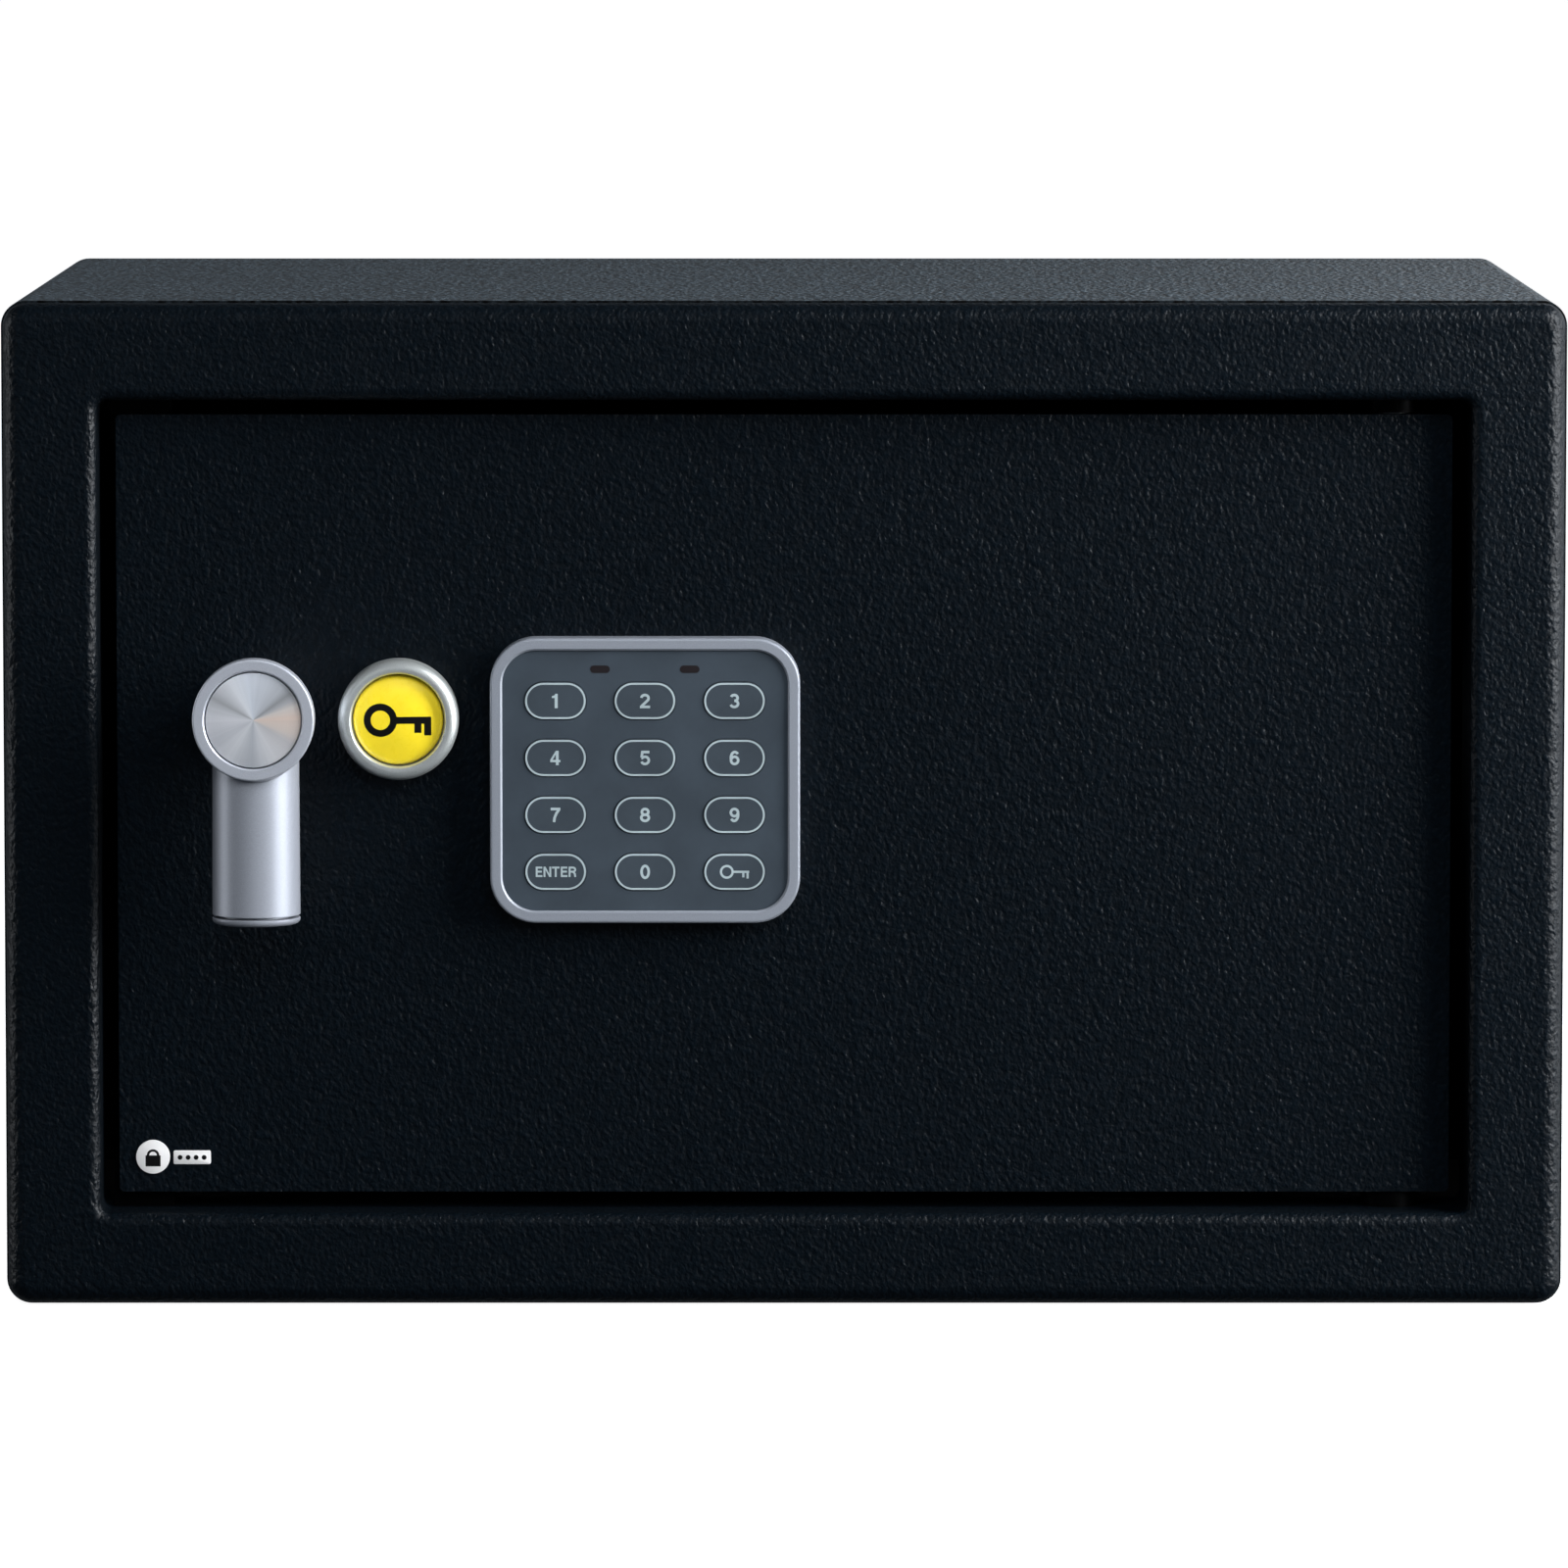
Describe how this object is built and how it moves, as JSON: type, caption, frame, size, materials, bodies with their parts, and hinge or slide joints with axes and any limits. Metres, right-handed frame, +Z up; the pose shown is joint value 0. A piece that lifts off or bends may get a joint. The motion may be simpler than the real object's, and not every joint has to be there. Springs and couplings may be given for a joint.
{
  "type": "electronic safe",
  "caption": "Compact home safe: folded steel body, recessed hinged door with keypad, lever handle, key override cover and live locking bolts driven by the handle.",
  "frame": {"origin": "centre of the underside, on the surface that the safe stands on", "axes": "+X to the right seen from the front, +Y towards the back, +Z up"},
  "size_m": [0.31, 0.2205, 0.2],
  "materials": {
    "powder_black": "textured powder coat",
    "frame_black": "textured powder coat",
    "inner_black": "satin paint",
    "satin_silver": "satin silver lacquer",
    "spun_disc": "spun, concentric grain",
    "nickel_ring": "satin nickel",
    "bezel_silver": "satin silver paint",
    "yellow_badge": "gloss",
    "keypad_grey": "fine matt",
    "key_grey": "matt silicone",
    "led_dark": "smoked, gloss",
    "zinc_steel": "zinc plated",
    "bolt_steel": "ground and plated",
    "brass": "turned",
    "felt": "needle felt",
    "board_green": "solder mask",
    "ribbon_grey": "satin",
    "black_plastic": "fine moulded grain",
    "cell_wrap": "shrink wrap, gloss",
    "contact_plate": "nickel plated",
    "red_plastic": "gloss",
    "coil_tape": "polyester tape, gloss",
    "badge_silver": "matt foil"
  },
  "bodies": {
    "body": {"body_shell": "powder_black", "front_frame": "frame_black", "back_panel": "powder_black", "strike_plate": "inner_black", "hinge_brackets": "inner_black", "door_stops": "inner_black", "floor_mat": "felt", "hinge_washers": "black_plastic"},
    "handle": {"handle_body": "satin_silver", "handle_disc": "spun_disc", "handle_end_cap": "satin_silver", "handle_spindle": "zinc_steel", "handle_crank": "zinc_steel", "crank_screw": "zinc_steel"},
    "bolts": {"bolt_carriage": "zinc_steel", "locking_bolts": "bolt_steel", "bolt_screws": "zinc_steel"},
    "plunger": {"plunger": "bolt_steel", "plunger_spring": "zinc_steel"},
    "key_plug": {"key_plug": "brass", "key_cam": "zinc_steel"},
    "key_cover": {"key_cover_ring": "nickel_ring", "key_cover_badge": "yellow_badge"},
    "battery_cover": {"battery_cover": "black_plastic"},
    "reset_button": {"reset_button": "red_plastic"},
    "key_1": {"key_1": "key_grey"},
    "key_2": {"key_2": "key_grey"},
    "key_3": {"key_3": "key_grey"},
    "key_4": {"key_4": "key_grey"},
    "key_5": {"key_5": "key_grey"},
    "key_6": {"key_6": "key_grey"},
    "key_7": {"key_7": "key_grey"},
    "key_8": {"key_8": "key_grey"},
    "key_9": {"key_9": "key_grey"},
    "key_enter": {"key_enter": "key_grey"},
    "key_0": {"key_0": "key_grey"},
    "key_override": {"key_override": "key_grey"},
    "door": {"door_plate": "frame_black", "hinge_lugs": "inner_black", "hinge_pins": "zinc_steel", "door_studs": "zinc_steel", "inner_cover": "inner_black", "cover_screws": "zinc_steel", "bolt_guides": "zinc_steel", "solenoid_frame": "zinc_steel", "solenoid_coil": "coil_tape", "handle_bush": "brass", "lock_barrel": "nickel_ring", "lock_nut": "zinc_steel", "keypad_bezel": "bezel_silver", "keypad_panel": "keypad_grey", "keypad_board": "board_green", "led_lenses": "led_dark", "keypad_cable": "ribbon_grey", "control_board": "board_green", "battery_tray": "black_plastic", "batteries": "cell_wrap", "battery_contacts": "contact_plate", "door_badge": "badge_silver"}
  },
  "joints": [
    {"name": "door_hinge", "type": "hinge", "parent": "body", "child": "door", "pos_m": [0.1215, -0.0835, 0.0995], "axis": [0, 0, 1], "range_deg": [0, 105]},
    {"name": "handle_turn", "type": "hinge", "parent": "door", "child": "handle", "pos_m": [-0.1042, -0.0905, 0.1188], "axis": [0, 1, 0], "range_deg": [0, 60]},
    {"name": "bolt_slide", "type": "slide", "parent": "door", "child": "bolts", "axis": [-1, 0, 0], "range_m": [0, 0.015]},
    {"name": "plunger_drop", "type": "slide", "parent": "door", "child": "plunger", "axis": [0, 0, -1], "range_m": [0, 0.005], "deforming": ["plunger_spring"]},
    {"name": "key_turn", "type": "hinge", "parent": "door", "child": "key_plug", "pos_m": [-0.0766, -0.0905, 0.1168], "axis": [0, 1, 0], "range_deg": [0, 90]},
    {"name": "key_cover_pull", "type": "slide", "parent": "door", "child": "key_cover", "axis": [0, -1, 0], "range_m": [0, 0.012]},
    {"name": "battery_cover_pull", "type": "slide", "parent": "door", "child": "battery_cover", "axis": [0, 1, 0], "range_m": [0, 0.015]},
    {"name": "reset_press", "type": "slide", "parent": "door", "child": "reset_button", "axis": [0, -1, 0], "range_m": [0, 0.0015], "stiffness_N_per_m": 400},
    {"name": "key_1_press", "type": "slide", "parent": "door", "child": "key_1", "axis": [0, 1, 0], "range_m": [0, 0.0005], "stiffness_N_per_m": 400},
    {"name": "key_2_press", "type": "slide", "parent": "door", "child": "key_2", "axis": [0, 1, 0], "range_m": [0, 0.0005], "stiffness_N_per_m": 400},
    {"name": "key_3_press", "type": "slide", "parent": "door", "child": "key_3", "axis": [0, 1, 0], "range_m": [0, 0.0005], "stiffness_N_per_m": 400},
    {"name": "key_4_press", "type": "slide", "parent": "door", "child": "key_4", "axis": [0, 1, 0], "range_m": [0, 0.0005], "stiffness_N_per_m": 400},
    {"name": "key_5_press", "type": "slide", "parent": "door", "child": "key_5", "axis": [0, 1, 0], "range_m": [0, 0.0005], "stiffness_N_per_m": 400},
    {"name": "key_6_press", "type": "slide", "parent": "door", "child": "key_6", "axis": [0, 1, 0], "range_m": [0, 0.0005], "stiffness_N_per_m": 400},
    {"name": "key_7_press", "type": "slide", "parent": "door", "child": "key_7", "axis": [0, 1, 0], "range_m": [0, 0.0005], "stiffness_N_per_m": 400},
    {"name": "key_8_press", "type": "slide", "parent": "door", "child": "key_8", "axis": [0, 1, 0], "range_m": [0, 0.0005], "stiffness_N_per_m": 400},
    {"name": "key_9_press", "type": "slide", "parent": "door", "child": "key_9", "axis": [0, 1, 0], "range_m": [0, 0.0005], "stiffness_N_per_m": 400},
    {"name": "key_enter_press", "type": "slide", "parent": "door", "child": "key_enter", "axis": [0, 1, 0], "range_m": [0, 0.0005], "stiffness_N_per_m": 400},
    {"name": "key_0_press", "type": "slide", "parent": "door", "child": "key_0", "axis": [0, 1, 0], "range_m": [0, 0.0005], "stiffness_N_per_m": 400},
    {"name": "key_override_press", "type": "slide", "parent": "door", "child": "key_override", "axis": [0, 1, 0], "range_m": [0, 0.0005], "stiffness_N_per_m": 400}
  ],
  "couplings": [
    {"joint": "bolt_slide", "follows": "handle_turn", "m_per_rad": 0.014324}
  ]
}
